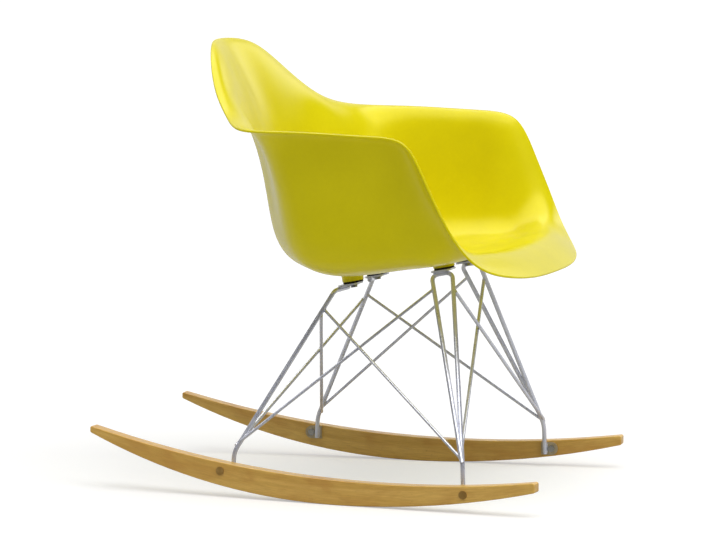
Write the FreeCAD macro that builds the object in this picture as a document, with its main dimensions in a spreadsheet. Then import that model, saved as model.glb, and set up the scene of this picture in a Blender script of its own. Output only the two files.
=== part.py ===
import FreeCAD, Part
import math
import os

import Sketcher

Vector = FreeCAD.Vector
Rotation = FreeCAD.Rotation
Placement = FreeCAD.Placement

# Moulded armchair shell on a welded wire base that rocks on two curved wooden runners.
# Millimetres. Z points up, the sitter faces -Y, and the floor is Z = 0 under the middle.

doc = FreeCAD.newDocument("rocking_chair")
sheet = doc.addObject("Spreadsheet::Sheet", "Dimensions")

# Driving dimensions: alias and value.
DIMENSIONS = [
    # seat shell
    ("seat_tilt", 10.3),
    ("seat_centre_y", -67.0),
    ("seat_centre_z", 374.0),
    ("seat_dip", 5.0),
    ("seat_thickness", 6.0),
    ("rim_thickness", 4.0),
    ("shell_disc_length", 40.0),
    ("shell_disc_width", 30.0),
    ("shell_disc_setback", 20.0),
    ("boss_radius", 18.0),
    ("boss_drop", 18.0),
    ("insert_radius", 5.0),
    ("insert_length", 9.0),
    # shock mounts under the shell
    ("mount_half_spacing", 62.5),
    ("front_mount_y", -105.0),
    ("rear_mount_y", 56.0),
    ("pad_thickness", 3.0),
    ("pad_radius", 17.0),
    ("plate_thickness", 3.0),
    ("plate_width", 34.0),
    ("plate_length", 44.0),
    ("plate_corner", 8.0),
    ("screw_radius", 3.0),
    ("screw_clearance", 0.3),
    ("screw_length", 13.0),
    ("screw_head_radius", 5.5),
    ("screw_head_height", 3.5),
    ("screw_socket_width", 4.0),
    ("screw_socket_depth", 2.0),
    ("washer_radius", 8.0),
    ("washer_thickness", 1.5),
    # steel rods
    ("leg_rod_diameter", 7.5),
    ("cross_strut_diameter", 6.0),
    ("side_wire_diameter", 5.0),
    ("leg_bend_radius", 11.0),
    ("foot_bend_radius", 40.0),
    ("front_bar_outset", 17.0),
    ("front_bar_half_length", 17.0),
    ("front_bar_toe", 4.0),
    ("rear_rod_setback", 12.5),
    ("rear_rod_inner_x", 56.0),
    ("rear_rod_bend_x", 103.0),
    ("rear_rod_bend_setback", 21.0),
    # feet of the wire base
    ("rear_foot_y", 144.0),
    ("front_foot_y", -260.0),
    ("knee_height", 72.0),
    ("rear_bolt_y", 156.0),
    ("front_bolt_y", -272.0),
    ("rear_bolt_height", 44.0),
    ("front_bolt_height", 31.0),
    ("tab_thickness", 4.0),
    ("tab_width", 22.0),
    ("tab_tail", 18.0),
    ("bolt_radius", 3.0),
    ("bolt_head_radius", 6.0),
    ("bolt_head_height", 2.6),
    ("cap_radius", 5.0),
    ("cap_flange_radius", 7.0),
    ("cap_flange_height", 1.6),
    # wooden runners
    ("runner_spacing", 480.0),
    ("runner_toe_out", 4.0),
    ("runner_width", 22.0),
    ("runner_length", 788.0),
    ("sole_rear_radius", 1080.0),
    ("sole_front_radius", 1470.0),
    ("sole_lowest_y", -48.2),
    ("runner_top_radius", 2040.0),
    ("runner_top_lowest_y", -123.0),
    ("runner_top_height", 39.5),
    ("runner_end_round", 3.5),
    ("runner_edge_round", 2.0),
]
for row, (alias, value) in enumerate(DIMENSIONS, start=1):
    sheet.set("A%d" % row, alias)
    sheet.set("B%d" % row, str(value))
    sheet.setAlias("B%d" % row, alias)

# The shell's outline, from the middle of the front lip round the right arm to the top of the back.
# Each station gives the rim point, how far the surface rolls over to reach the rim and how much it
# drops there, the foot of the wall on the seat, and how far the wall bulges low down and higher up.
# These are in the shell's own frame: seat plane at Z = 0, back towards +Y.
STATION_COLUMNS = [
    "rim_x", "rim_y", "rim_z", "roll_width", "roll_drop",
    "floor_x", "floor_y", "floor_z", "heel_bulge", "wall_bulge",
]
STATIONS = [
    ("lip_centre", 0, -279, -54, 38, 48, 0, -176, -4, 0, 0),
    ("lip_side", 110, -274, -52, 38, 48, 80, -172, -4, 0, 0),
    ("lip_corner", 195, -258, -42, 37, 45, 146, -160, -4, 2, 0),
    ("lip_end", 255, -234, -21, 31, 35, 182, -148, -4, 6, 0),
    ("arm_root", 286, -214, 14, 24, 25, 202, -134, -4, 12, 2),
    ("arm_front_low", 303, -198, 64, 20, 13, 210, -120, -4, 20, 6),
    ("arm_front_middle", 310, -182, 126, 20, 7, 211, -106, -4, 27, 10),
    ("arm_front_high", 311, -165, 183, 20, 4, 210, -90, -4, 31, 11),
    ("arm_corner", 310, -142, 207, 20, 4, 208, -76, -4, 33, 11),
    ("arm_front", 315, -81, 224, 20, 4, 205, -40, -3, 36, 12),
    ("arm_middle", 316, 16, 245, 22, 4, 200, 15, -1, 38, 13),
    ("arm_rear", 314, 95, 260, 34, 4, 182, 68, 5, 42, 9),
    ("arm_end", 290, 130, 270, 46, 4, 148, 94, 13, 46, -1),
    ("wing_low", 240, 160, 290, 46, 4, 117, 110, 14, 47, -5),
    ("wing_middle", 195, 187, 328, 34, 3, 94, 120, 12, 43, -9),
    ("wing_high", 142, 208, 375, 24, 3, 71, 129, 8, 39, -13),
    ("back_shoulder", 85, 224, 407, 18, 3, 45, 135, 5, 36, -16),
    ("back_centre", 0, 239, 418, 16, 2, 0, 138, 3, 34, -17),
]
outline_sheet = doc.addObject("Spreadsheet::Sheet", "ShellOutline")
for row, station in enumerate(STATIONS, start=1):
    outline_sheet.set("A%d" % row, station[0])
    for number, column in enumerate(STATION_COLUMNS):
        cell = "%s%d" % ("BCDEFGHIJK"[number], row)
        outline_sheet.set(cell, str(station[number + 1]))
        outline_sheet.setAlias(cell, "%s_%s" % (station[0], column))
doc.recompute()


def size(alias):
    """A driving dimension in millimetres or degrees."""
    return float(sheet.get(alias))


def outline(station, column):
    """One value of the shell's outline."""
    return float(outline_sheet.get("%s_%s" % (station, column)))


def bind(item, **links):
    """Tie properties of an object to cells of the dimension sheet."""
    for name, expression in links.items():
        item.setExpression(name, expression)


# Frame of the shell: tilted back about X, with its origin at the middle of the seat.
shell_frame = Placement(
    Vector(0, size("seat_centre_y"), size("seat_centre_z")),
    Rotation(Vector(1, 0, 0), -size("seat_tilt")),
)


def in_chair(x, y, z):
    """A point given in the shell's frame, in the chair's frame."""
    return shell_frame.multVec(Vector(x, y, z))


def between(a, b, share):
    return a + (b - a) * share


def flat(vector):
    return Vector(vector.x, vector.y, 0)


# Seat shell

WALL_KNOTS = [0.0, 0.25, 0.5, 0.75, 1.0]
WALL_MULTIPLICITIES = [4, 1, 1, 1, 4]
WALL_POLES = 7
SEAT_FLAT_SHARE = 0.55
HEEL_HEIGHT_SHARE = 0.17
WALL_HEIGHT_SHARE = 0.58


def station_wall(name, mirrored):
    """Control points of the shell's surface from the seat's middle out to one rim station."""
    side = -1.0 if mirrored else 1.0
    rim = Vector(side * outline(name, "rim_x"), outline(name, "rim_y"), outline(name, "rim_z"))
    floor = Vector(side * outline(name, "floor_x"), outline(name, "floor_y"), outline(name, "floor_z"))
    middle = Vector(0, -size("shell_disc_setback"), -size("seat_dip"))
    outward = flat(rim - Vector(0, -10, 0)).normalize()
    crest = rim - outward * outline(name, "roll_width") + Vector(0, 0, outline(name, "roll_drop"))
    heading = math.atan2(floor.y - middle.y, floor.x - middle.x)
    disc_edge = middle + Vector(
        size("shell_disc_length") * math.cos(heading),
        size("shell_disc_width") * math.sin(heading),
        0,
    )
    seat_flat = middle + flat(floor - middle) * SEAT_FLAT_SHARE
    heel = between(floor, crest, HEEL_HEIGHT_SHARE) + outward * outline(name, "heel_bulge")
    wall = between(floor, crest, WALL_HEIGHT_SHARE) + outward * outline(name, "wall_bulge")
    return [disc_edge, seat_flat, floor, heel, wall, crest, rim]


def rim_parameters(rim_points):
    """Spacing of the stations round the rim, by the square root of their distances."""
    steps = [math.sqrt(a.distanceToPoint(b)) for a, b in zip(rim_points, rim_points[1:] + rim_points[:1])]
    total = sum(steps)
    parameters = [0.0]
    for step in steps:
        parameters.append(parameters[-1] + step / total)
    parameters[-1] = 1.0
    return parameters


def ring_poles(points, parameters):
    """Poles of the closed smooth curve through one point of every station."""
    curve = Part.BSplineCurve()
    curve.interpolate(Points=points, PeriodicFlag=True, Parameters=parameters)
    return curve


def skin(walls, parameters, multiplicities, knots, degree):
    """Closed surface whose rows run round the shell and whose columns run up its wall."""
    rings = [ring_poles([wall[level] for wall in walls], parameters) for level in range(len(walls[0]))]
    columns = [ring.getPoles() for ring in rings]
    poles = [[column[index] for column in columns] for index in range(len(columns[0]))]
    surface = Part.BSplineSurface()
    surface.buildFromPolesMultsKnots(
        poles, rings[0].getMultiplicities(), multiplicities,
        rings[0].getKnots(), knots, True, False, rings[0].Degree, degree,
    )
    return surface


def make_shell_body():
    """Bucket that thins from the seat to its rounded rim, closed by a flat disc under the sitter."""
    names = [station[0] for station in STATIONS]
    order = [(name, False) for name in names] + [(name, True) for name in names[-2:0:-1]]
    upper_walls = [station_wall(name, mirrored) for name, mirrored in order]
    parameters = rim_parameters([wall[-1] for wall in upper_walls])
    upper = skin(upper_walls, parameters, WALL_MULTIPLICITIES, WALL_KNOTS, 3)

    seat_thickness = size("seat_thickness")
    rim_thickness = size("rim_thickness")
    pole_heights = [0.0, 0.083, 0.25, 0.5, 0.75, 0.917, 1.0]
    climbs = [max(0.0, height - 0.083) / 0.917 for height in pole_heights]
    thicknesses = [between(seat_thickness, rim_thickness, climb) for climb in climbs]
    lower_walls = []
    nose_walls = []
    for index, wall in enumerate(upper_walls):
        inward = [upper.normal(parameters[index], height) for height in pole_heights]
        if inward[0].z > 0:
            inward = [normal * -1.0 for normal in inward]
        lower = [point + normal * depth for point, normal, depth in zip(wall, inward, thicknesses)]
        lower_walls.append(lower)
        ahead = upper.value(parameters[index], 1.0) - upper.value(parameters[index], 0.995)
        ahead = ahead.normalize() * (rim_thickness * 0.6)
        nose_walls.append([wall[-1], wall[-1] + ahead, lower[-1] + ahead, lower[-1]])
    lower = skin(lower_walls, parameters, WALL_MULTIPLICITIES, WALL_KNOTS, 3)
    nose = skin(nose_walls, parameters, [4, 4], [0.0, 1.0], 3)

    faces = [upper.toShape(), lower.toShape(), nose.toShape()]
    for surface in (upper, lower):
        edge = surface.vIso(0.0).toShape()
        faces.append(Part.Face(Part.Wire([edge])))
    closed = Part.makeShell(faces)
    closed.sewShape()
    solid = Part.makeSolid(closed)
    if solid.Volume < 0:
        solid.reverse()
    return solid


def mount_places():
    """Name, side and seat-frame place of the four shock mounts."""
    half = size("mount_half_spacing")
    places = []
    for end, y in (("front", size("front_mount_y")), ("rear", size("rear_mount_y"))):
        for side, x in (("left", -half), ("right", half)):
            places.append((end, side, x, y))
    return places


shell_solid = make_shell_body()
boss_top = -size("seat_dip") - size("seat_thickness") + 2.0
for end, side, x, y in mount_places():
    boss_foot = Vector(x, y, -size("boss_drop"))
    boss = Part.makeCylinder(size("boss_radius"), boss_top + size("boss_drop"), boss_foot)
    shell_solid = shell_solid.fuse(boss)
for end, side, x, y in mount_places():
    socket_mouth = Vector(x, y, -size("boss_drop"))
    socket = Part.makeCylinder(size("insert_radius"), size("insert_length"), socket_mouth)
    shell_solid = shell_solid.cut(socket)
seat_shell = doc.addObject("Part::Feature", "seat_shell")
seat_shell.Shape = shell_solid
seat_shell.Placement = shell_frame

nodes = [seat_shell]


def node(item, label):
    item.Label = label
    nodes.append(item)
    return item


# Fittings of the shock mounts, stacked downwards from each boss

def placed_cylinder(name, radius, height, x, y, z):
    """Upright cylinder in the shell's frame, its radius and height tied to the sheet."""
    item = doc.addObject("Part::Cylinder", name)
    bind(item, Radius=radius, Height=height)
    item.Placement = shell_frame.multiply(Placement(Vector(x, y, z), Rotation()))
    return item


def cut(name, base, tool):
    item = doc.addObject("Part::Cut", name)
    item.Base = base
    item.Tool = tool
    return item


def group(name, items):
    item = doc.addObject("Part::Compound", name)
    item.Links = items
    return item


pad_top = -size("boss_drop")
plate_top = pad_top - size("pad_thickness")
plate_bottom = plate_top - size("plate_thickness")
washer_bottom = plate_bottom - size("washer_thickness")
head_bottom = washer_bottom - size("screw_head_height")
HOLE = "Dimensions.screw_radius + Dimensions.screw_clearance"

inserts = []
washers = []
screws = []
for end, side, x, y in mount_places():
    tag = "%s_%s" % (end, side)

    length = "Dimensions.insert_length"
    sleeve = placed_cylinder("insert_sleeve_" + tag, "Dimensions.insert_radius", length, x, y, pad_top)
    bore = placed_cylinder("insert_bore_" + tag, "Dimensions.screw_radius", length, x, y, pad_top)
    inserts.append(cut("insert_" + tag, sleeve, bore))

    thickness = "Dimensions.pad_thickness"
    disc = placed_cylinder("pad_disc_" + tag, "Dimensions.pad_radius", thickness, x, y, plate_top)
    hole = placed_cylinder("pad_hole_" + tag, HOLE, "Dimensions.pad_thickness", x, y, plate_top)
    node(cut("rubber_pad_" + tag, disc, hole), "rubber_pad_" + tag)

    gauge = "Dimensions.washer_thickness"
    ring = placed_cylinder("washer_ring_" + tag, "Dimensions.washer_radius", gauge, x, y, washer_bottom)
    hole = placed_cylinder("washer_hole_" + tag, HOLE, "Dimensions.washer_thickness", x, y, washer_bottom)
    washers.append(cut("washer_" + tag, ring, hole))

    shank = placed_cylinder(
        "screw_shank_" + tag, "Dimensions.screw_radius",
        "Dimensions.screw_length + Dimensions.washer_thickness", x, y, washer_bottom)
    depth = "Dimensions.screw_head_height"
    head = placed_cylinder("screw_head_" + tag, "Dimensions.screw_head_radius", depth, x, y, head_bottom)
    blank = doc.addObject("Part::Fuse", "screw_blank_" + tag)
    blank.Base = shank
    blank.Tool = head
    socket = doc.addObject("Part::Prism", "screw_socket_" + tag)
    socket.Polygon = 6
    bind(
        socket, Circumradius="Dimensions.screw_socket_width / 2 / cos(30)",
        Height="Dimensions.screw_socket_depth")
    socket.Placement = shell_frame.multiply(Placement(Vector(x, y, head_bottom), Rotation()))
    screws.append(cut("screw_" + tag, blank, socket))

node(group("threaded_inserts", inserts), "threaded_inserts")
node(group("mount_washers", washers), "mount_washers")
node(group("mount_screws", screws), "mount_screws")


def origin_plane(body, role):
    return [feature for feature in body.Origin.OriginFeatures if feature.Role == role][0]


def sketch_on(body, role, name):
    sketch = body.newObject("Sketcher::SketchObject", name)
    sketch.AttachmentSupport = (origin_plane(body, role), [""])
    sketch.MapMode = "FlatFace"
    return sketch


def dimension(sketch, constraint, name, expression):
    """Add one named dimension to a sketch and tie it to the sheet."""
    number = sketch.addConstraint(constraint)
    sketch.renameConstraint(number, name)
    sketch.setExpression("Constraints." + name, expression)


def add_pad(body, sketch, name, length, symmetric=False):
    pad = body.newObject("PartDesign::Pad", name)
    pad.Profile = sketch
    pad.SideType = "Symmetric" if symmetric else "One side"
    bind(pad, Length=length)
    return pad


def edges_where(shape, test):
    """Names of the edges whose direction at their start passes a test."""
    return [
        "Edge%d" % (number + 1) for number, edge in enumerate(shape.Edges)
        if test(edge.tangentAt(edge.FirstParameter))
    ]


def mount_plate(tag, x, y, reach_x, reach_y):
    """Stamped steel plate with rounded corners that the rods are welded under."""
    body = doc.addObject("PartDesign::Body", "mount_plate_" + tag)
    profile = sketch_on(body, "XY_Plane", "plate_outline_" + tag)
    corners = [Vector(-1, -1, 0), Vector(1, -1, 0), Vector(1, 1, 0), Vector(-1, 1, 0)]
    for start, finish in zip(corners, corners[1:] + corners[:1]):
        profile.addGeometry(Part.LineSegment(start * 15, finish * 15), False)
    for line in range(4):
        profile.addConstraint(Sketcher.Constraint("Coincident", line, 2, (line + 1) % 4, 1))
        profile.addConstraint(Sketcher.Constraint("Horizontal" if line % 2 == 0 else "Vertical", line))
    long_side = Sketcher.Constraint("DistanceX", 0, 1, 0, 2, 30)
    dimension(profile, long_side, "across", "Dimensions.plate_length")
    short_side = Sketcher.Constraint("DistanceY", 1, 1, 1, 2, 30)
    dimension(profile, short_side, "along", "Dimensions.plate_width")
    profile.addConstraint(Sketcher.Constraint("Symmetric", 0, 1, 1, 2, -1, 1))
    pad = add_pad(body, profile, "plate_blank_" + tag, "Dimensions.plate_thickness")
    doc.recompute()
    rounds = body.newObject("PartDesign::Fillet", "plate_corners_" + tag)
    rounds.Base = (pad, edges_where(pad.Shape, lambda tangent: abs(tangent.z) > 0.9))
    bind(rounds, Radius="Dimensions.plate_corner")
    doc.recompute()
    eye = sketch_on(body, "XY_Plane", "plate_eye_" + tag)
    eye.addGeometry(Part.Circle(Vector(-reach_x, -reach_y, 0), Vector(0, 0, 1), 3), False)
    dimension(eye, Sketcher.Constraint("Radius", 0, 3), "eye", HOLE)
    eye.addConstraint(Sketcher.Constraint("DistanceX", -1, 1, 0, 3, -reach_x))
    eye.addConstraint(Sketcher.Constraint("DistanceY", -1, 1, 0, 3, -reach_y))
    hole = body.newObject("PartDesign::Pocket", "plate_hole_" + tag)
    hole.Profile = eye
    hole.Type = "ThroughAll"
    hole.Reversed = True
    middle = Vector(x + reach_x, y + reach_y, plate_bottom)
    body.Placement = shell_frame.multiply(Placement(middle, Rotation()))
    return node(body, "mount_plate_" + tag)


PLATE_REACH = 7.0
for end, side, x, y in mount_places():
    outward = -1.0 if side == "left" else 1.0
    rearward = 0.0 if end == "front" else 3.0
    mount_plate("%s_%s" % (end, side), x, y, outward * PLATE_REACH, rearward)


# Rods of the wire base

def rod_path(points, radii):
    """Straight runs joined by tangent arcs, one radius for each inner point."""
    edges = []
    start = points[0]
    for index in range(1, len(points) - 1):
        corner = points[index]
        back = (points[index - 1] - corner).normalize()
        ahead = (points[index + 1] - corner).normalize()
        half_angle = back.getAngle(ahead) / 2.0
        reach = radii[index - 1] / math.tan(half_angle)
        arc_start = corner + back * reach
        arc_end = corner + ahead * reach
        to_centre = (back + ahead).normalize()
        arc_middle = corner + to_centre * (radii[index - 1] / math.sin(half_angle) - radii[index - 1])
        edges.append(Part.LineSegment(start, arc_start).toShape())
        edges.append(Part.Arc(arc_start, arc_middle, arc_end).toShape())
        start = arc_end
    edges.append(Part.LineSegment(start, points[-1]).toShape())
    return Part.Wire(edges)


def bent_rod(points, radii, diameter):
    """Round steel rod swept along its bent path."""
    path = rod_path(points, radii)
    heading = (points[1] - points[0]).normalize()
    section = Part.Wire([Part.makeCircle(diameter / 2.0, points[0], heading)])
    return path.makePipeShell([section], True, False)


def straight_rod(start, finish, diameter):
    return Part.makeCylinder(diameter / 2.0, start.distanceToPoint(finish), start, finish - start)


leg = size("leg_rod_diameter")
rod_level = plate_bottom - leg / 2.0
half = size("mount_half_spacing")
knee = size("knee_height")
SIDES = {"left": -1.0, "right": 1.0}


def runner_frame(side):
    """Frame of one runner: the two stand a little wider apart at the front."""
    sign = SIDES[side]
    place = Vector(sign * size("runner_spacing") / 2.0, 0, 0)
    return Placement(place, Rotation(Vector(0, 0, 1), sign * size("runner_toe_out")))


def beside_runner(gap, y, z):
    """A point inboard of the right runner, measured from its inner face."""
    return runner_frame("right").multVec(Vector(-size("runner_width") / 2.0 - gap, y, z))


def sided(point, side):
    return Vector(-point.x, point.y, point.z) if side == "left" else point


# Right-hand places; the left side mirrors them.
bar_x = half + size("front_bar_outset")
bar_toe = size("front_bar_toe")
bar_reach = size("front_bar_half_length")
bar_rear = in_chair(bar_x + bar_toe, size("front_mount_y") + bar_reach, rod_level)
bar_front = in_chair(bar_x - bar_toe, size("front_mount_y") - bar_reach, rod_level)
rod_gap = size("tab_thickness") + leg / 2.0
TOE_DROP = 9.0
front_knee = beside_runner(rod_gap, size("front_foot_y"), knee)
front_toe = beside_runner(rod_gap, size("front_foot_y") - 1.5, size("front_bolt_height") - TOE_DROP)
front_weld = beside_runner(rod_gap, size("front_foot_y") + 1.0, knee + 6.0)
start_y = size("rear_mount_y") + size("rear_rod_setback")
rear_start = in_chair(size("rear_rod_inner_x"), start_y, rod_level)
bend_y = size("rear_mount_y") + size("rear_rod_bend_setback")
rear_bend = in_chair(size("rear_rod_bend_x"), bend_y, rod_level)
rear_knee = beside_runner(rod_gap, size("rear_foot_y"), knee)
rear_toe = beside_runner(rod_gap, size("rear_foot_y") + 1.5, size("rear_bolt_height") - TOE_DROP)


def front_leg():
    """Hairpin of one rod: a bar under the mount and two shanks that meet at the foot."""
    bar_middle = between(bar_rear, bar_front, 0.5)
    bend = size("leg_bend_radius")
    rear_half = bent_rod([front_weld, bar_rear, bar_middle], [bend], leg)
    path = [bar_middle, bar_front, front_knee, front_toe]
    front_half = bent_rod(path, [bend, size("foot_bend_radius")], leg)
    return rear_half.fuse(front_half)


def rear_leg():
    """One rod from under the mount, out past the shell's base and down to the foot."""
    radii = [size("leg_bend_radius"), size("foot_bend_radius")]
    return bent_rod([rear_start, rear_bend, rear_knee, rear_toe], radii, leg)


legs = {}
for end, maker in (("front", front_leg), ("rear", rear_leg)):
    legs[(end, "right")] = maker()
    legs[(end, "left")] = legs[(end, "right")].mirror(Vector(0, 0, 0), Vector(1, 0, 0))
    for side in ("left", "right"):
        item = doc.addObject("Part::Feature", "%s_leg_%s" % (end, side))
        item.Shape = legs[(end, side)]
        node(item, item.Name)
other_legs = [legs[("front", "right")], legs[("rear", "left")], legs[("rear", "right")]]
all_legs = legs[("front", "left")].fuse(other_legs)


def on_run(top, bottom, height):
    """The point of a straight shank at a given height."""
    return between(top, bottom, (top.z - height) / (top.z - bottom.z))


def coped_rod(name, start, finish, alias, neighbours):
    """Straight rod whose ends are coped to sit against the rods that it is welded to."""
    shape = straight_rod(start, finish, size(alias)).cut(neighbours)
    shape = max(shape.Solids, key=lambda solid: solid.Volume)
    item = doc.addObject("Part::Feature", name)
    item.Shape = shape
    node(item, name)
    return shape


# Crossed struts between the two sides, at the rear and at the front.
CROSS_GAP = 0.3
strut = size("cross_strut_diameter")
strut_shift = Vector(0, strut / 2.0 + CROSS_GAP, 0)
welded = all_legs
rear_high = on_run(rear_bend, rear_knee, 293.0)
rear_low = on_run(rear_bend, rear_knee, 82.0)
front_high = on_run(bar_front, front_knee, 338.0)
front_low = on_run(bar_front, front_knee, 84.0)
for end, high, low in (("rear", rear_high, rear_low), ("front", front_high, front_low)):
    for side, other, shift in (("left", "right", strut_shift), ("right", "left", strut_shift * -1.0)):
        start = sided(low, side) + shift
        finish = sided(high, other) + shift
        shape = coped_rod("%s_cross_strut_%s" % (end, side), start, finish, "cross_strut_diameter", welded)
        welded = welded.fuse(shape)

# Crossed thin wires along each side.
wire = size("side_wire_diameter")
wire_shift = Vector(wire / 2.0 + CROSS_GAP, 0, 0)
wire_front_high = on_run(bar_rear, front_weld, 341.0) + wire_shift
wire_rear_low = on_run(rear_bend, rear_knee, 90.0) + wire_shift
wire_rear_high = on_run(rear_bend, rear_knee, 303.0) - wire_shift
wire_front_low = on_run(bar_rear, front_weld, 82.0) - wire_shift
for side in ("left", "right"):
    for label, start, finish in (
        ("rising", wire_rear_low, wire_front_high),
        ("falling", wire_front_low, wire_rear_high),
    ):
        shape = coped_rod(
            "side_wire_%s_%s" % (label, side), sided(start, side), sided(finish, side),
            "side_wire_diameter", welded)
        welded = welded.fuse(shape)


# Foot tabs, bolts and caps

def foot_tab(end, side):
    """Steel tab on the runner's inner face, bolted at its round end and welded to the rod."""
    name = "foot_tab_%s_%s" % (end, side)
    body = doc.addObject("PartDesign::Body", name)
    profile = sketch_on(body, "YZ_Plane", "tab_outline_%s_%s" % (end, side))
    radius = size("tab_width") / 2.0
    towards_rod = 1.0 if size(end + "_foot_y") > size(end + "_bolt_y") else -1.0
    tail = towards_rod * size("tab_tail")
    corners = [
        Vector(0, radius, 0),
        Vector(tail, radius, 0),
        Vector(tail, -radius, 0),
        Vector(0, -radius, 0),
    ]
    for start, finish in zip(corners, corners[1:]):
        profile.addGeometry(Part.LineSegment(start, finish), False)
    rounded = Part.Circle(Vector(0, 0, 0), Vector(0, 0, 1), radius)
    first = math.pi / 2.0 if towards_rod > 0 else -math.pi / 2.0
    profile.addGeometry(Part.ArcOfCircle(rounded, first, first + math.pi), False)
    top_end, bottom_end = (1, 2) if towards_rod > 0 else (2, 1)
    profile.addConstraint(Sketcher.Constraint("Coincident", 0, 2, 1, 1))
    profile.addConstraint(Sketcher.Constraint("Coincident", 1, 2, 2, 1))
    profile.addConstraint(Sketcher.Constraint("Coincident", 0, 1, 3, top_end))
    profile.addConstraint(Sketcher.Constraint("Coincident", 2, 2, 3, bottom_end))
    profile.addConstraint(Sketcher.Constraint("Coincident", 3, 3, -1, 1))
    profile.addConstraint(Sketcher.Constraint("Horizontal", 0))
    profile.addConstraint(Sketcher.Constraint("Horizontal", 2))
    profile.addConstraint(Sketcher.Constraint("Vertical", 1))
    profile.addConstraint(Sketcher.Constraint("PointOnObject", 3, 1, -2))
    dimension(profile, Sketcher.Constraint("Radius", 3, radius), "round_end", "Dimensions.tab_width / 2")
    left, right = ((0, 1), (0, 2)) if towards_rod > 0 else ((0, 2), (0, 1))
    tail_length = Sketcher.Constraint("DistanceX", *left, *right, abs(tail))
    dimension(profile, tail_length, "tail", "Dimensions.tab_tail")
    add_pad(body, profile, "tab_blank_%s_%s" % (end, side), "Dimensions.tab_thickness")
    doc.recompute()
    eye = sketch_on(body, "YZ_Plane", "tab_eye_%s_%s" % (end, side))
    eye.addGeometry(Part.Circle(Vector(0, 0, 0), Vector(0, 0, 1), 3), False)
    eye.addConstraint(Sketcher.Constraint("Coincident", 0, 3, -1, 1))
    clear_radius = "Dimensions.bolt_radius + Dimensions.screw_clearance"
    dimension(eye, Sketcher.Constraint("Radius", 0, 3), "eye", clear_radius)
    hole = body.newObject("PartDesign::Pocket", "tab_hole_%s_%s" % (end, side))
    hole.Profile = eye
    hole.Type = "ThroughAll"
    hole.Reversed = True
    inner = -SIDES[side] * size("runner_width") / 2.0
    if side == "right":
        inner -= size("tab_thickness")
    height = size(end + "_bolt_height")
    eye_place = Vector(inner, size(end + "_bolt_y"), height)
    body.Placement = runner_frame(side).multiply(Placement(eye_place, Rotation()))
    return node(body, name)


bolts = []
caps = []
runner_half = size("runner_width") / 2.0
for end in ("front", "rear"):
    y = size(end + "_bolt_y")
    height = size(end + "_bolt_height")
    for side, sign in SIDES.items():
        foot_tab(end, side)
        tag = "%s_%s" % (end, side)
        across = Rotation(Vector(0, 0, 1), Vector(sign, 0, 0))

        def in_runner(reach):
            """Place for a cylinder that starts at a distance outboard of the runner's middle."""
            return runner_frame(side).multiply(Placement(Vector(sign * reach, y, height), across))

        shank = doc.addObject("Part::Cylinder", "bolt_shank_" + tag)
        bind(
            shank, Radius="Dimensions.bolt_radius",
            Height="Dimensions.tab_thickness + Dimensions.runner_width * 0.7")
        shank.Placement = in_runner(-runner_half - size("tab_thickness"))
        head = doc.addObject("Part::Cylinder", "bolt_head_" + tag)
        bind(head, Radius="Dimensions.bolt_head_radius", Height="Dimensions.bolt_head_height")
        head.Placement = in_runner(-runner_half - size("tab_thickness") - size("bolt_head_height"))
        bolt = doc.addObject("Part::Fuse", "bolt_" + tag)
        bolt.Base = shank
        bolt.Tool = head
        bolts.append(bolt)

        barrel = doc.addObject("Part::Cylinder", "cap_barrel_" + tag)
        bind(barrel, Radius="Dimensions.cap_radius", Height="Dimensions.runner_width * 0.55")
        barrel.Placement = in_runner(runner_half - size("runner_width") * 0.55)
        flange = doc.addObject("Part::Cylinder", "cap_flange_" + tag)
        bind(flange, Radius="Dimensions.cap_flange_radius", Height="Dimensions.cap_flange_height")
        flange.Placement = in_runner(runner_half)
        blank = doc.addObject("Part::Fuse", "cap_blank_" + tag)
        blank.Base = barrel
        blank.Tool = flange
        caps.append(cut("cap_nut_" + tag, blank, bolt))
node(group("runner_bolts", bolts), "runner_bolts")
node(group("runner_cap_nuts", caps), "runner_cap_nuts")


# Wooden runners

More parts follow.
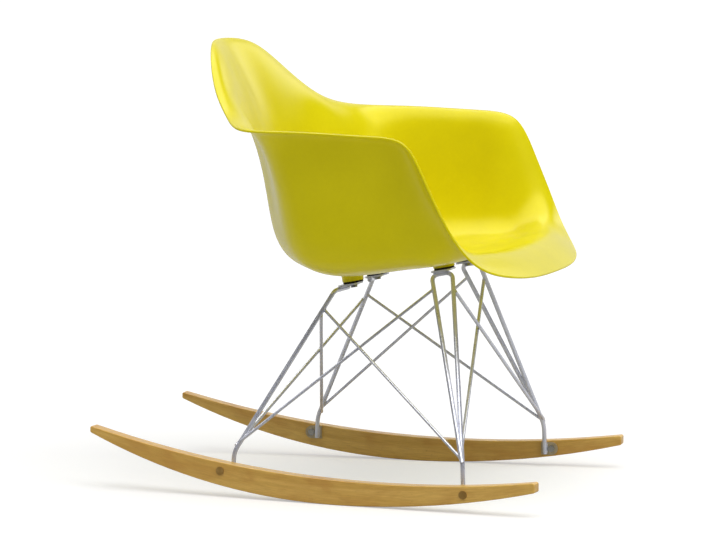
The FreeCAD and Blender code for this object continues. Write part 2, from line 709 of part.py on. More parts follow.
def runner(side):
    """Curved rail: a sole that rolls harder at the back, a flatter top, square ends and eased edges."""
    name = "runner_" + side
    body = doc.addObject("PartDesign::Body", name)
    profile = sketch_on(body, "YZ_Plane", "runner_profile_" + side)
    reach = size("runner_length") / 2.0
    rest = size("sole_lowest_y")

    def circle(y, low, radius):
        return Part.Circle(Vector(y, low + radius, 0), Vector(0, 0, 1), radius)

    def angle_at(arc, y):
        drop = math.sqrt(arc.Radius ** 2 - (y - arc.Center.x) ** 2)
        return math.atan2(-drop, y - arc.Center.x) + 2 * math.pi

    front_sole = circle(rest, 0, size("sole_front_radius"))
    rear_sole = circle(rest, 0, size("sole_rear_radius"))
    top = circle(size("runner_top_lowest_y"), size("runner_top_height"), size("runner_top_radius"))
    for arc, start, finish in ((front_sole, -reach, rest), (rear_sole, rest, reach), (top, -reach, reach)):
        profile.addGeometry(Part.ArcOfCircle(arc, angle_at(arc, start), angle_at(arc, finish)), False)
    ends = [geometry.toShape().Vertexes for geometry in profile.Geometry]
    profile.addGeometry(Part.LineSegment(ends[0][0].Point, ends[2][0].Point), False)
    profile.addGeometry(Part.LineSegment(ends[1][-1].Point, ends[2][-1].Point), False)
    for first, first_end, second, second_end in (
        (0, 2, 1, 1), (0, 1, 3, 1), (2, 1, 3, 2), (1, 2, 4, 1), (2, 2, 4, 2),
    ):
        profile.addConstraint(Sketcher.Constraint("Coincident", first, first_end, second, second_end))
    profile.addConstraint(Sketcher.Constraint("Vertical", 3))
    profile.addConstraint(Sketcher.Constraint("Vertical", 4))
    sole_setting = "-Dimensions.sole_lowest_y"
    top_setting = "-Dimensions.runner_top_lowest_y"
    centres = (
        (0, front_sole, "front_sole", sole_setting, "sole_front_radius", "0 mm"),
        (1, rear_sole, "rear_sole", sole_setting, "sole_rear_radius", "0 mm"),
        (2, top, "top", top_setting, "runner_top_radius", "Dimensions.runner_top_height"),
    )
    for number, arc, label, setting, radius_name, low in centres:
        radius = "Dimensions." + radius_name
        from_middle = Sketcher.Constraint("DistanceX", number, 3, -1, 1, -arc.Center.x)
        dimension(profile, from_middle, label + "_setting", setting)
        if label != "rear_sole":
            dimension(profile, Sketcher.Constraint("Radius", number, arc.Radius), label + "_radius", radius)
        lift = radius if low == "0 mm" else "%s + %s" % (radius, low)
        above = Sketcher.Constraint("DistanceY", -1, 1, number, 3, arc.Center.y)
        dimension(profile, above, label + "_height", lift)
    rest_place = Sketcher.Constraint("DistanceX", 0, 2, -1, 1, -rest)
    dimension(profile, rest_place, "rest_line", sole_setting)
    half_length = "Dimensions.runner_length / 2"
    front_end = Sketcher.Constraint("DistanceX", 3, 1, -1, 1, reach)
    dimension(profile, front_end, "front_reach", half_length)
    rear_end = Sketcher.Constraint("DistanceX", -1, 1, 4, 1, reach)
    dimension(profile, rear_end, "rear_reach", half_length)
    rail = add_pad(body, profile, "rail_" + side, "Dimensions.runner_width", symmetric=True)
    doc.recompute()
    squared = body.newObject("PartDesign::Fillet", "rail_ends_" + side)
    squared.Base = (rail, edges_where(rail.Shape, lambda tangent: abs(tangent.x) > 0.5))
    bind(squared, Radius="Dimensions.runner_end_round")
    doc.recompute()
    eased = body.newObject("PartDesign::Fillet", "rail_edges_" + side)
    eased.Base = (squared, edges_where(squared.Shape, lambda tangent: abs(tangent.x) < 0.5))
    bind(eased, Radius="Dimensions.runner_edge_round")
    doc.recompute()

    for label, radius, depth in (
        ("bolt", "Dimensions.bolt_radius", "Dimensions.runner_width * 2"),
        ("nut", "Dimensions.cap_radius", "Dimensions.runner_width * 0.55"),
    ):
        holes = sketch_on(body, "YZ_Plane", "%s_holes_%s" % (label, side))
        if label == "nut":
            outer_face = Vector(0, 0, SIDES[side] * size("runner_width") / 2.0)
            holes.AttachmentOffset = Placement(outer_face, Rotation())
        for number, end in enumerate(("front", "rear")):
            y = size(end + "_bolt_y")
            height = size(end + "_bolt_height")
            holes.addGeometry(Part.Circle(Vector(y, height, 0), Vector(0, 0, 1), 3), False)
            dimension(holes, Sketcher.Constraint("Radius", number, 3), "radius_" + end, radius)
            along = "Dimensions.%s_bolt_y" % end
            if end == "front":
                ahead = Sketcher.Constraint("DistanceX", number, 3, -1, 1, -y)
                dimension(holes, ahead, "along_" + end, "-" + along)
            else:
                behind = Sketcher.Constraint("DistanceX", -1, 1, number, 3, y)
                dimension(holes, behind, "along_" + end, along)
            up = "Dimensions.%s_bolt_height" % end
            above = Sketcher.Constraint("DistanceY", -1, 1, number, 3, height)
            dimension(holes, above, "height_" + end, up)
        bore = body.newObject("PartDesign::Pocket", "%s_bore_%s" % (label, side))
        bore.Profile = holes
        if label == "bolt":
            bore.SideType = "Symmetric"
        else:
            bore.Reversed = side == "left"
        bind(bore, Length=depth)
        doc.recompute()
    body.Placement = runner_frame(side)
    return node(body, name)


for side in ("left", "right"):
    runner(side)

doc.recompute()

# Every object must be sound before anything is written.
for item in doc.Objects:
    if "Invalid" in item.State or "Error" in item.State:
        raise RuntimeError("failed object: %s %s" % (item.Name, item.State))
for item in nodes:
    if item.Shape.isNull() or not item.Shape.isValid() or not item.Shape.Solids:
        raise RuntimeError("unsound shape: " + item.Label)

os.makedirs("parts", exist_ok=True)
for item in nodes:
    item.Shape.exportStep("parts/%s.step" % item.Label)
    print("%-28s solids %d volume %.0f" % (item.Label, len(item.Shape.Solids), item.Shape.Volume))
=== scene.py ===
import math

import bmesh
import bpy
from mathutils import Matrix, Vector, noise
from mathutils.bvhtree import BVHTree


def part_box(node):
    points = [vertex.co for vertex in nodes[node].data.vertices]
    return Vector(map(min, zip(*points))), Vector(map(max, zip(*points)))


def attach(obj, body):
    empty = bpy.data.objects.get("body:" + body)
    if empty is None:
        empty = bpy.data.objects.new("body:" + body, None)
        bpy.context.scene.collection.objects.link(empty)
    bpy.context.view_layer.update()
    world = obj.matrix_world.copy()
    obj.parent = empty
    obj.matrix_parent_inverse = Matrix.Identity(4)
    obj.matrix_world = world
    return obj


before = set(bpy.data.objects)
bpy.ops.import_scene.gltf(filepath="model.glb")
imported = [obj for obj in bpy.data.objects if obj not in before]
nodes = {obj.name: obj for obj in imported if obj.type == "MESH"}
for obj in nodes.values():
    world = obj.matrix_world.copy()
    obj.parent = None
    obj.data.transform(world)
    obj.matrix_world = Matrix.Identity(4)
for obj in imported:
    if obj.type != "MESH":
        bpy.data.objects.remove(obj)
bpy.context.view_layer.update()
scene = bpy.context.scene
scene.view_settings.view_transform = "Standard"

# Rocking armchair in a white studio: glossy moulded shell, chromed wire base, maple runners.
# Lengths are in metres and angles in degrees. Z points up and the sitter faces -Y.


# Rods and bosses of the solids, which the welds and fillets below follow

LEG_RADIUS = 0.00375
STRUT_RADIUS = 0.0030
WIRE_RADIUS = 0.0025
BOSS_RADIUS = 0.018

# Axes of the chair by their number

ACROSS = 0
ALONG = 1
UPRIGHT = 2


def named(*words):
    """Names of the nodes that have one of the words in them, in alphabetical order."""
    return [name for name in sorted(nodes) if any(word in name for word in words)]


# Colours and shader graphs

# A Mix node has several sockets of each name, so the ones for colour are found by number.
MIX_FACTOR = 0
MIX_FIRST = 6
MIX_SECOND = 7
MIX_RESULT = 2


def linear(channel):
    """One screen value from 0 to 255 as linear light."""
    share = channel / 255
    if share <= 0.04045:
        return share / 12.92
    return ((share + 0.055) / 1.055) ** 2.4


def srgb(red, green, blue):
    """A colour given as it looks on screen, 0 to 255, as linear light."""
    return linear(red), linear(green), linear(blue)


def direction(azimuth, elevation):
    """Unit vector towards a part of the studio; azimuth 0 is +X, and 90 is +Y."""
    turn = math.radians(azimuth)
    lift = math.radians(elevation)
    level = math.cos(lift)
    return Vector((math.cos(turn) * level, math.sin(turn) * level, math.sin(lift)))


class Graph:
    """A shader node tree under construction."""

    def __init__(self, tree):
        self.tree = tree
        self.tree.nodes.clear()

    def add(self, kind, **settings):
        item = self.tree.nodes.new(kind)
        for key, value in settings.items():
            setattr(item, key, value)
        return item

    def link(self, source, target):
        self.tree.links.new(source, target)

    def feed(self, socket, value):
        """Link an input to the output that drives it, or give it a fixed number or colour."""
        if isinstance(value, bpy.types.NodeSocket):
            self.link(value, socket)
        elif isinstance(value, tuple):
            socket.default_value = (*value, 1.0)
        else:
            socket.default_value = value

    def maths(self, operation, a, b):
        item = self.add("ShaderNodeMath", operation=operation)
        self.feed(item.inputs[0], a)
        self.feed(item.inputs[1], b)
        return item.outputs["Value"]

    def spread(self, value, low, high, to_low=0.0, to_high=1.0, curve="LINEAR"):
        """Stretch the range from low to high onto another one, clamped at both ends."""
        item = self.add("ShaderNodeMapRange", interpolation_type=curve)
        item.inputs["From Min"].default_value = low
        item.inputs["From Max"].default_value = high
        item.inputs["To Min"].default_value = to_low
        item.inputs["To Max"].default_value = to_high
        self.link(value, item.inputs["Value"])
        return item.outputs["Result"]

    def facing(self, vector, azimuth, elevation):
        """How far a vector reaches towards a part of the studio."""
        item = self.add("ShaderNodeVectorMath", operation="DOT_PRODUCT")
        self.link(vector, item.inputs[0])
        item.inputs[1].default_value = direction(azimuth, elevation)
        return item.outputs["Value"]


class Paint(Graph):
    """A material under construction: Principled shader, output and the object's coordinates."""

    def __init__(self, name):
        self.material = bpy.data.materials.new(name)
        self.material.use_nodes = True
        super().__init__(self.material.node_tree)
        self.output = self.add("ShaderNodeOutputMaterial")
        self.shader = self.add("ShaderNodeBsdfPrincipled")
        self.link(self.shader.outputs["BSDF"], self.output.inputs["Surface"])
        self.place = self.add("ShaderNodeTexCoord").outputs["Object"]

    def stretched(self, x, y, z, source=None):
        """Coordinates multiplied per axis; a smaller factor makes a pattern longer that way."""
        mapping = self.add("ShaderNodeMapping")
        mapping.inputs["Scale"].default_value = (x, y, z)
        self.link(source or self.place, mapping.inputs["Vector"])
        return mapping.outputs["Vector"]

    def noise(self, scale, detail=2.0, roughness=0.5, distortion=0.0, vector=None):
        item = self.add("ShaderNodeTexNoise")
        item.inputs["Scale"].default_value = scale
        item.inputs["Detail"].default_value = detail
        item.inputs["Roughness"].default_value = roughness
        item.inputs["Distortion"].default_value = distortion
        self.link(vector or self.place, item.inputs["Vector"])
        return item.outputs["Fac"]

    def blend(self, factor, a, b):
        """Colour that goes from a to b with the factor; a and b are colours or outputs."""
        item = self.add("ShaderNodeMix", data_type="RGBA")
        self.feed(item.inputs[MIX_FACTOR], factor)
        self.feed(item.inputs[MIX_FIRST], a)
        self.feed(item.inputs[MIX_SECOND], b)
        return item.outputs[MIX_RESULT]

    def bump(self, height, distance, strength, under=None):
        """Relief of a pattern, laid over the relief under it if there is one."""
        item = self.add("ShaderNodeBump")
        item.inputs["Distance"].default_value = distance
        item.inputs["Strength"].default_value = strength
        self.link(height, item.inputs["Height"])
        if under:
            self.link(under, item.inputs["Normal"])
        return item.outputs["Normal"]

    def give(self, **values):
        """Set the shader's inputs; spaces in their names are written as underscores."""
        for key, value in values.items():
            self.feed(self.shader.inputs[key.replace("_", " ")], value)
        return self.material


# Materials

def shell_plastic():
    """Dyed, injection-moulded plastic: citron yellow, half gloss, with a faint orange-peel skin."""
    paint = Paint("citron_plastic")
    cloud = paint.noise(9.0, detail=3.0)
    mottle = paint.noise(160.0)
    tone = paint.blend(paint.spread(cloud, 0.3, 0.7), srgb(222, 209, 2), srgb(229, 216, 4))
    speckle = paint.spread(mottle, 0.35, 0.65, to_high=0.12)
    tone = paint.blend(speckle, tone, srgb(209, 195, 2))
    rubbed = paint.stretched(1.0, 0.25, 1.0)
    scuffs = paint.noise(70.0, detail=6.0, roughness=0.75, distortion=1.5, vector=rubbed)
    worn = paint.maths("MULTIPLY", paint.spread(scuffs, 0.58, 0.80), 0.03)
    gloss = paint.maths("ADD", paint.spread(cloud, 0.3, 0.7, to_low=0.23, to_high=0.27), worn)
    peel = paint.noise(420.0)
    grain = paint.noise(2600.0)
    relief = paint.bump(grain, distance=0.00005, strength=0.25)
    relief = paint.bump(peel, distance=0.00025, strength=0.16, under=relief)
    return paint.give(
        Base_Color=tone,
        Roughness=gloss,
        Normal=relief,
        Specular_IOR_Level=0.42,
        Specular_Tint=(1.0, 0.97, 0.45),
    )


def chromed_rod():
    """Chromed steel wire: hazy pale metal with fine drawing marks under a sharp clear layer."""
    paint = Paint("chromed_steel_wire")
    haze = paint.noise(45.0, detail=3.0)
    lines = paint.noise(900.0, roughness=0.6, vector=paint.stretched(1.0, 1.0, 0.06))
    tone = paint.blend(paint.spread(haze, 0.35, 0.65), srgb(210, 213, 228), srgb(224, 227, 240))
    hazy = paint.spread(haze, 0.3, 0.7, to_low=0.25, to_high=0.31)
    drawn = paint.spread(lines, 0.4, 0.7, to_high=0.04)
    return paint.give(
        Base_Color=tone,
        Roughness=paint.maths("ADD", hazy, drawn),
        Metallic=0.45,
        Specular_IOR_Level=0.5,
        Coat_Weight=1.0,
        Coat_Roughness=0.05,
        Coat_IOR=2.1,
        Normal=paint.bump(lines, distance=0.00004, strength=0.12),
    )


def zinc_steel(name, shade, rough, metallic=1.0):
    """Plated pressed steel in a given shade, slightly cloudy, with tumbling marks."""
    paint = Paint(name)
    cloud_depth = 22
    clouded = [channel - cloud_depth for channel in shade]
    cloud = paint.noise(120.0, detail=4.0)
    marks = paint.noise(1500.0, detail=3.0, roughness=0.7)
    return paint.give(
        Base_Color=paint.blend(paint.spread(cloud, 0.3, 0.7), srgb(*shade), srgb(*clouded)),
        Roughness=paint.spread(marks, 0.3, 0.7, to_low=rough - 0.05, to_high=rough + 0.1),
        Metallic=metallic,
        Normal=paint.bump(marks, distance=0.00005, strength=0.5),
    )


def black_rubber():
    """Dull black rubber with a little dust on it."""
    paint = Paint("black_rubber")
    dust = paint.noise(400.0, detail=4.0, roughness=0.7)
    return paint.give(
        Base_Color=paint.blend(paint.spread(dust, 0.4, 0.75), srgb(28, 28, 29), srgb(58, 57, 55)),
        Roughness=paint.spread(dust, 0.3, 0.7, to_low=0.62, to_high=0.85),
        Normal=paint.bump(dust, distance=0.00015, strength=0.6),
        Specular_IOR_Level=0.3,
    )


def brass():
    """Slightly tarnished brass."""
    paint = Paint("brass")
    tarnish = paint.noise(300.0, detail=3.0)
    dulled = paint.spread(tarnish, 0.35, 0.7)
    return paint.give(
        Base_Color=paint.blend(dulled, srgb(201, 168, 96), srgb(168, 132, 70)),
        Metallic=1.0,
        Roughness=paint.spread(tarnish, 0.3, 0.7, to_low=0.25, to_high=0.42),
    )


def maple():
    """Honey-lacquered maple: bands, short flecks and long fibres that follow the runner's curve."""
    paint = Paint("lacquered_maple")
    curve_centre = -0.08
    curve_rise = 0.33
    split = paint.add("ShaderNodeSeparateXYZ")
    paint.link(paint.place, split.inputs["Vector"])
    along = split.outputs["Y"]
    run = paint.maths("POWER", paint.maths("ADD", along, -curve_centre), 2.0)
    height = paint.maths("SUBTRACT", split.outputs["Z"], paint.maths("MULTIPLY", run, curve_rise))
    joined = paint.add("ShaderNodeCombineXYZ")
    paint.link(split.outputs["X"], joined.inputs["X"])
    paint.link(along, joined.inputs["Y"])
    paint.link(height, joined.inputs["Z"])
    wood = joined.outputs["Vector"]

    band_place = paint.stretched(34.0, 1.7, 60.0, wood)
    bands = paint.noise(1.0, detail=3.0, roughness=0.55, distortion=0.6, vector=band_place)
    fibre_place = paint.stretched(520.0, 9.0, 620.0, wood)
    fibres = paint.noise(1.0, detail=4.0, roughness=0.65, vector=fibre_place)
    fleck_place = paint.stretched(900.0, 190.0, 1100.0, wood)
    flecks = paint.noise(1.0, detail=1.0, vector=fleck_place)
    figure_place = paint.stretched(22.0, 13.0, 34.0, wood)
    figure = paint.noise(1.0, distortion=0.8, vector=figure_place)

    tone = paint.blend(paint.spread(bands, 0.36, 0.64), srgb(234, 193, 100), srgb(216, 171, 78))
    tone = paint.blend(paint.spread(figure, 0.46, 0.66, to_high=0.55), tone, srgb(200, 146, 62))
    tone = paint.blend(paint.spread(fibres, 0.35, 0.7, to_high=0.42), tone, srgb(176, 126, 54))
    tone = paint.blend(paint.spread(flecks, 0.68, 0.78, to_high=0.35), tone, srgb(128, 82, 30))
    return paint.give(
        Base_Color=tone,
        Roughness=paint.spread(fibres, 0.3, 0.7, to_low=0.34, to_high=0.46),
        Normal=paint.bump(fibres, distance=0.00012, strength=0.35),
        Specular_IOR_Level=0.45,
        Coat_Weight=0.35,
        Coat_Roughness=0.18,
    )


def dress(material, names):
    """Give some nodes one material."""
    for name in names:
        data = nodes[name].data
        data.materials.clear()
        data.materials.append(material)


chrome = chromed_rod()
plastic = shell_plastic()
fasteners = zinc_steel("plated_fasteners", shade=(184, 184, 182), rough=0.24)
tab_steel = zinc_steel("tab_steel", shade=(196, 182, 152), rough=0.30, metallic=0.5)
bronzed = zinc_steel("bronzed_steel", shade=(186, 148, 84), rough=0.34, metallic=0.5)

dress(plastic, ["seat_shell"])
dress(chrome, named("_leg_", "_strut_", "_wire_", "_plate_"))
dress(fasteners, ["mount_screws", "mount_washers", "runner_bolts"])
dress(tab_steel, named("_tab_"))
dress(bronzed, ["runner_cap_nuts"])
dress(black_rubber(), named("_pad_"))
dress(brass(), ["threaded_inserts"])
dress(maple(), ["runner_left", "runner_right"])


# Helpers for shapes that follow the solids

def search_tree(names):
    """One search tree over the meshes of several nodes."""
    shape = bmesh.new()
    for name in names:
        shape.from_mesh(nodes[name].data)
    tree = BVHTree.FromBMesh(shape)
    shape.free()
    return tree


def nearest(tree, place):
    """The nearest point of a search tree's surface, and how far away it is."""
    found = tree.find_nearest(place)
    return found[0], found[3]


def depth_along(tree, start, heading):
    """How far a search tree's surface is from a point in one direction; None if it isn't there."""
    return tree.ray_cast(start, heading)[3]


def cut_points(mesh, point, normal):
    """Where a plane crosses the edges of a mesh."""
    shape = bmesh.new()
    shape.from_mesh(mesh)
    whole = shape.verts[:] + shape.edges[:] + shape.faces[:]
    result = bmesh.ops.bisect_plane(shape, geom=whole, plane_co=point, plane_no=normal)
    places = [item.co.copy() for item in result["geom_cut"] if isinstance(item, bmesh.types.BMVert)]
    shape.free()
    return places


def middle(places):
    """The average of some points."""
    return sum(places, Vector()) / len(places)


def straight_axis(mesh):
    """Two points on a straight rod's axis, a quarter of its length from each end."""
    corners = [vertex.co for vertex in mesh.vertices]
    centre = middle(corners)
    first = max(corners, key=lambda place: (place - centre).length)
    last = max(corners, key=lambda place: (place - first).length)
    near = first.lerp(last, 0.25)
    far = first.lerp(last, 0.75)
    return middle(cut_points(mesh, near, last - first)), middle(cut_points(mesh, far, last - first))


def spokes(axis, side, count):
    """Unit vectors square to an axis, evenly spaced once round it from the side given."""
    other = axis.cross(side)
    turns = [math.tau * step / count for step in range(count)]
    return [side * math.cos(turn) + other * math.sin(turn) for turn in turns]


def skin(shape, rings, closed):
    """Faces between neighbouring rings of points, and if closed from the last to the first."""
    following = rings[1:] + rings[:1] if closed else rings[1:]
    for one, two in zip(rings, following):
        for index in range(len(one)):
            after = (index + 1) % len(one)
            shape.faces.new((one[index], one[after], two[after], two[index]))


def finished_piece(name, shape, material):
    """Turn a shape into a smooth piece of the chair."""
    bmesh.ops.recalc_face_normals(shape, faces=shape.faces)
    mesh = bpy.data.meshes.new(name)
    shape.to_mesh(mesh)
    shape.free()
    mesh.polygons.foreach_set("use_smooth", [True] * len(mesh.polygons))
    mesh.materials.append(material)
    piece = bpy.data.objects.new(name, mesh)
    scene.collection.objects.link(piece)
    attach(piece, "root")


# Weld beads of the wire base: rings round the ends of struts and wires, seams on plates and tabs

BEAD_RADIUS = 0.0011
BEAD_SIDES = 8
RIPPLE_LENGTH = 0.0016
RIPPLE_SHARE = 0.10  # of the bead's radius
LUMP_SHARE = 0.22  # of the bead's radius
LUMPS_PER_METRE = 400.0
TAPER_RINGS = 5.0
TAPER_END = 0.35  # of the bead's radius, at an open end

RING_POINTS = 66
RING_REACH = 2.0  # rod radii past the first contact that the bead may follow the leg

SEAM_STATIONS = 26
SEAM_FEWEST = 8  # stations, for a seam to be made
SEAM_MARGIN = 0.06  # of the plate's length, left free at each end
SEAM_CLOSE = 2.3  # leg radii from the plate within which a point of the leg counts
SECTION_FEWEST = 6  # points that count, for a station to be used
SEAM_SLACK = 0.0006  # largest gap between leg and plate that is still a weld
SEAM_SUNK = 0.0007  # from the plate's face to the middle of the bead
SEAM_SIDE = 0.0034  # from the leg's axis to the middle of the bead
SEAM_WIDTH = 1.15  # of the plain bead's radius


def bead(shape, path, outwards, closed, radius):
    """Lumpy tube along a path, rippled as a hand-held torch leaves it; open ends taper off."""
    end = len(path) - 1
    rings = []
    run = 0.0
    for index, (place, outward) in enumerate(zip(path, outwards)):
        before = path[index - 1] if closed or index > 0 else place
        after = path[(index + 1) % len(path)] if closed or index < end else place
        along = (after - before).normalized()
        side = (outward - along * outward.dot(along)).normalized()
        run += (place - before).length
        ripple = RIPPLE_SHARE * math.sin(math.tau * run / RIPPLE_LENGTH)
        lump = LUMP_SHARE * noise.noise(place * LUMPS_PER_METRE)
        swell = 1.0 + ripple + lump
        if not closed:
            inside = min(1.0, min(index, end - index) / TAPER_RINGS)
            swell *= TAPER_END + (1.0 - TAPER_END) * inside
        ring = [place + spoke * radius * swell for spoke in spokes(along, side, BEAD_SIDES)]
        rings.append([shape.verts.new(corner) for corner in ring])
    if not closed:
        shape.faces.new(list(reversed(rings[0])))
        shape.faces.new(rings[-1])
    skin(shape, rings, closed)


def end_ring(shape, start, heading, radius, legs):
    """Bead along the curve where a rod's end meets the leg that carries it."""
    outwards = spokes(heading, heading.orthogonal().normalized(), RING_POINTS)
    depths = [depth_along(legs, start + outward * radius, heading) for outward in outwards]
    found = [depth for depth in depths if depth is not None]
    if not found:
        return
    contact = min(found)
    path = []
    for outward, depth in zip(outwards, depths):
        place = start + outward * radius
        if depth is None or depth > contact + RING_REACH * radius:
            path.append(nearest(legs, place + heading * (contact + radius))[0])
        else:
            path.append(place + heading * depth)
    bead(shape, path, outwards, True, BEAD_RADIUS)


def seam(shape, leg, carrier, axis):
    """Beads on both sides of a leg, along the plate or tab that it lies on."""
    low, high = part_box(carrier)
    tree = search_tree([carrier])
    centres = []
    for index in range(SEAM_STATIONS):
        share = SEAM_MARGIN + (1.0 - 2.0 * SEAM_MARGIN) * index / (SEAM_STATIONS - 1)
        level = Vector()
        level[axis] = low[axis] + (high[axis] - low[axis]) * share
        normal = Vector()
        normal[axis] = 1.0
        section = cut_points(nodes[leg].data, level, normal)
        close = [place for place in section if nearest(tree, place)[1] < LEG_RADIUS * SEAM_CLOSE]
        if len(close) >= SECTION_FEWEST:
            centre = middle(close)
            touch, distance = nearest(tree, centre)
            if abs(distance - LEG_RADIUS) < SEAM_SLACK:
                centres.append((centre, (touch - centre).normalized()))
    if len(centres) < SEAM_FEWEST:
        return
    run = (centres[-1][0] - centres[0][0]).normalized()
    for hand in (-1.0, 1.0):
        path = []
        outwards = []
        for centre, towards in centres:
            across = towards.cross(run).normalized() * hand
            path.append(centre + towards * (LEG_RADIUS - SEAM_SUNK) + across * SEAM_SIDE)
            outwards.append(across)
        bead(shape, path, outwards, False, BEAD_RADIUS * SEAM_WIDTH)


def build_welds():
    """Beads at every joint of the wire base, as one piece for each kind of joint."""
    legs = search_tree(named("_leg_"))
    for kind, radius in (("strut", STRUT_RADIUS), ("wire", WIRE_RADIUS)):
        shape = bmesh.new()
        for name in named("_%s_" % kind):
            first, last = straight_axis(nodes[name].data)
            end_ring(shape, first, (first - last).normalized(), radius, legs)
            end_ring(shape, last, (last - first).normalized(), radius, legs)
        finished_piece(kind + "_welds", shape, chrome)
    plates = bmesh.new()
    tabs = bmesh.new()
    for leg in named("_leg_"):
        corner = leg.replace("_leg", "")
        seam(plates, leg, "mount_plate_" + corner, ALONG if "front" in leg else ACROSS)
        seam(tabs, leg, "foot_tab_" + corner, UPRIGHT)
    finished_piece("plate_welds", plates, chrome)
    finished_piece("tab_welds", tabs, chrome)


# Fillets round the moulded bosses

FILLET_REACH = 0.0055  # out along the underside of the seat
FILLET_DROP = 0.0085  # down the boss from the seat
FILLET_LOWEST = 0.0036  # above the middle of the pad
FILLET_SUNK = 0.0012  # how deep the hidden faces lie in boss and seat
FILLET_STEPS = 72
FILLET_SPANS = 8
RAY_CLEARANCE = 0.0004  # from the boss to the line along which the seat is looked for
FOOT_INSET = 0.0002  # the curve starts this far inside the boss
CORNER_OUT = 0.0001  # the point that the curve bends towards, from the boss
CORNER_DOWN = 0.0002  # and from the seat
EDGE_SUNK = 0.0003  # the curve ends this far inside the seat
UNDERSIDE = -0.9  # a face whose normal rises less than this is an underside


def fillet_profile(near, far):
    """Cross-section of a fillet: distances from the boss's axis, heights above the pad's middle.

    The seat is at the height near beside the boss, and at the height far at the fillet's edge.
    """
    foot = max(near - FILLET_DROP, FILLET_LOWEST)
    first = Vector((BOSS_RADIUS - FOOT_INSET, foot))
    corner = Vector((BOSS_RADIUS + CORNER_OUT, near - CORNER_DOWN))
    last = Vector((BOSS_RADIUS + FILLET_REACH, far + EDGE_SUNK))
    profile = []
    for index in range(FILLET_SPANS + 1):
        share = index / FILLET_SPANS
        profile.append(first.lerp(corner, share).lerp(corner.lerp(last, share), share))
    profile.append(Vector((BOSS_RADIUS + FILLET_REACH, far + FILLET_SUNK)))
    profile.append(Vector((BOSS_RADIUS - FILLET_SUNK, near + FILLET_SUNK)))
    profile.append(Vector((BOSS_RADIUS - FILLET_SUNK, foot)))
    return profile


def build_boss_fillets():
    """Moulded fillet round each boss, which also closes the joint between boss and seat."""
    shell = search_tree(["seat_shell"])
    shape = bmesh.new()
    for name in named("_pad_"):
        low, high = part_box(name)
        centre = (Vector(low) + Vector(high)) / 2.0
        # The mounts lean, so the axis is square to the flat underside of the pad.
        undersides = [face for face in nodes[name].data.polygons if face.normal.z < UNDERSIDE]
        axis = -sum((face.normal * face.area for face in undersides), Vector()).normalized()
        rings = []
        for outward in spokes(axis, axis.orthogonal().normalized(), FILLET_STEPS):
            near = depth_along(shell, centre + outward * (BOSS_RADIUS + RAY_CLEARANCE), axis)
            far = depth_along(shell, centre + outward * (BOSS_RADIUS + FILLET_REACH), axis)
            profile = fillet_profile(near, far)
            rings.append([shape.verts.new(centre + outward * p.x + axis * p.y) for p in profile])
        skin(shape, rings, True)
    finished_piece("boss_fillets", shape, plastic)


# Studio

CAMERA_PLACE = (-6.450, -2.162, 1.108)
CAMERA_YAW = 18.51  # the azimuth that it looks along
CAMERA_PITCH = 6.30  # downwards
CAMERA_FOCAL = 4072.0  # focal length, in pixels of the photograph
CAMERA_WIDTH = 716.0  # of the photograph, in pixels
CAMERA_SENSOR = 36.0  # millimetres
CAMERA_CLIP = 200.0  # nothing farther off is drawn

FLOOR_RADIUS = 40.0
FLOOR_GAP = 0.0002  # below the soles
FLOOR_LIFT = 0.43  # light that the floor gives off towards the camera
FLOOR_PAINTED_SHADE = 0.75  # share of the floor's colour painted towards black on the dim side, a painted shade that only reflections see
FLOOR_PAINTED_SHADE_REACH = 0.5  # how far from the middle that share is lost
PAINTED_SHADE_SIDE = -161.5  # azimuth of the side where reflections see the floor with painted shade
AMBIENT = 0.36  # brightness of the even sky that lights the chair, 1 being white
STUDIO_DIM = 0.05  # brightness of the unlit studio in reflections
SUN_DISTANCE = 5.0


def build_floor():
    """Pale sweep under the chair that keeps its shadow and runs out to plain white."""
    mesh = bpy.data.meshes.new("studio_floor")
    shape = bmesh.new()
    bmesh.ops.create_circle(shape, cap_ends=True, segments=96, radius=FLOOR_RADIUS)
    shape.to_mesh(mesh)
    shape.free()
    floor = bpy.data.objects.new("studio_floor", mesh)
    floor.location.z = -FLOOR_GAP
    scene.collection.objects.link(floor)

    paint = Paint("studio_white")
    paper = paint.noise(3.0, detail=3.0)
    tone = paint.blend(paint.spread(paper, 0.3, 0.7), (0.63, 0.63, 0.63), (0.65, 0.65, 0.65))
    ray = paint.add("ShaderNodeLightPath")
    # Painted shade: for reflections only, the floor's colour is darkened towards black on one side,
    # standing in for an unlit room in front of the set.
    toward_painted_shade = paint.facing(paint.place, PAINTED_SHADE_SIDE, 0.0)
    shade = paint.spread(toward_painted_shade, 0.0, FLOOR_PAINTED_SHADE_REACH, to_high=FLOOR_PAINTED_SHADE)
    painted_reflection_shade = paint.maths("MULTIPLY", ray.outputs["Is Glossy Ray"], shade)
    tone = paint.blend(painted_reflection_shade, tone, (0.0, 0.0, 0.0))
    paint.give(Base_Color=tone, Roughness=0.9, Specular_IOR_Level=0.0)
    glow = paint.add("ShaderNodeEmission")
    lift = paint.maths("MULTIPLY", ray.outputs["Is Camera Ray"], FLOOR_LIFT)
    paint.link(lift, glow.inputs["Strength"])
    both = paint.add("ShaderNodeAddShader")
    paint.link(paint.shader.outputs["BSDF"], both.inputs[0])
    paint.link(glow.outputs["Emission"], both.inputs[1])
    paint.link(both.outputs["Shader"], paint.output.inputs["Surface"])
    mesh.materials.append(paint.material)


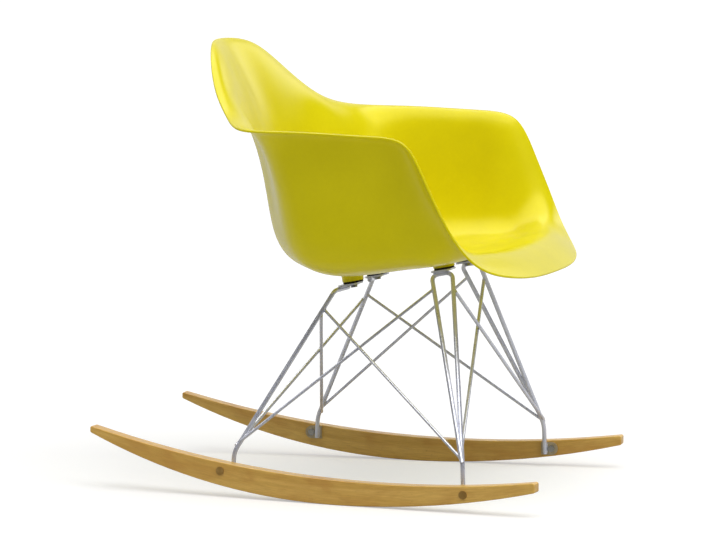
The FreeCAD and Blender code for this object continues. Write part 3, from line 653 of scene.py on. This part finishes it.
def build_world():
    """White for the eye, an even sky as light, and a dim studio with soft panels in reflections."""
    world = bpy.data.worlds.new("studio")
    world.use_nodes = True
    scene.world = world
    graph = Graph(world.node_tree)
    ray = graph.add("ShaderNodeLightPath")
    output = graph.add("ShaderNodeOutputWorld")
    sky = graph.add("ShaderNodeTexCoord").outputs["Generated"]

    def background(strength):
        item = graph.add("ShaderNodeBackground")
        graph.feed(item.inputs["Color"], (1.0, 1.0, 1.0))
        graph.feed(item.inputs["Strength"], strength)
        return item.outputs["Background"]

    def mix(factor, a, b):
        item = graph.add("ShaderNodeMixShader")
        graph.link(factor, item.inputs[0])
        graph.link(a, item.inputs[1])
        graph.link(b, item.inputs[2])
        return item.outputs["Shader"]

    def panel(azimuth, elevation, inner, outer, strength):
        """Soft round panel in the sky: full within the inner angle, dim past the outer one."""
        towards = graph.facing(sky, azimuth, elevation)
        low = math.cos(math.radians(outer))
        high = math.cos(math.radians(inner))
        return graph.spread(towards, low, high, STUDIO_DIM, strength, curve="SMOOTHSTEP")

    ceiling = panel(azimuth=0.0, elevation=90.0, inner=31.0, outer=48.0, strength=4.1)
    backdrop = panel(azimuth=20.0, elevation=10.0, inner=34.0, outer=46.0, strength=0.8)
    softbox = panel(azimuth=-25.0, elevation=23.0, inner=8.0, outer=14.0, strength=2.5)
    studio = graph.maths("MAXIMUM", graph.maths("MAXIMUM", ceiling, backdrop), softbox)
    lit = mix(ray.outputs["Is Glossy Ray"], background(AMBIENT), background(studio))
    seen = graph.maths("MAXIMUM", ray.outputs["Is Camera Ray"], ray.outputs["Is Transmission Ray"])
    graph.link(mix(seen, lit, background(1.0)), output.inputs["Surface"])


def soft_sun(name, azimuth, elevation, share, width):
    """Even light from one side of the sky; at a share of 1, white that faces it is plain white."""
    data = bpy.data.lights.new(name, "SUN")
    data.energy = share * math.pi
    data.angle = math.radians(width)
    item = bpy.data.objects.new(name, data)
    from_there = direction(azimuth, elevation)
    item.location = from_there * SUN_DISTANCE
    item.visible_glossy = False
    item.rotation_euler = (-from_there).to_track_quat("-Z", "Y").to_euler()
    scene.collection.objects.link(item)


def build_camera():
    """Long lens on the sitter's right, a little in front and above, as the photograph was taken."""
    ahead = direction(CAMERA_YAW, -CAMERA_PITCH)
    right = direction(CAMERA_YAW - 90.0, 0.0)
    up = right.cross(ahead)
    data = bpy.data.cameras.new("studio_camera")
    data.sensor_width = CAMERA_SENSOR
    data.lens = CAMERA_SENSOR * CAMERA_FOCAL / CAMERA_WIDTH
    data.clip_end = CAMERA_CLIP
    camera = bpy.data.objects.new("studio_camera", data)
    turn = Matrix((right, up, -ahead)).transposed().to_4x4()
    camera.matrix_world = Matrix.Translation(CAMERA_PLACE) @ turn
    scene.collection.objects.link(camera)
    scene.camera = camera


build_welds()
build_boss_fillets()
build_floor()
build_world()
soft_sun("overhead_softbox", azimuth=-160.0, elevation=77.0, share=0.47, width=50.0)
soft_sun("front_softbox", azimuth=-104.0, elevation=44.0, share=0.33, width=50.0)
build_camera()
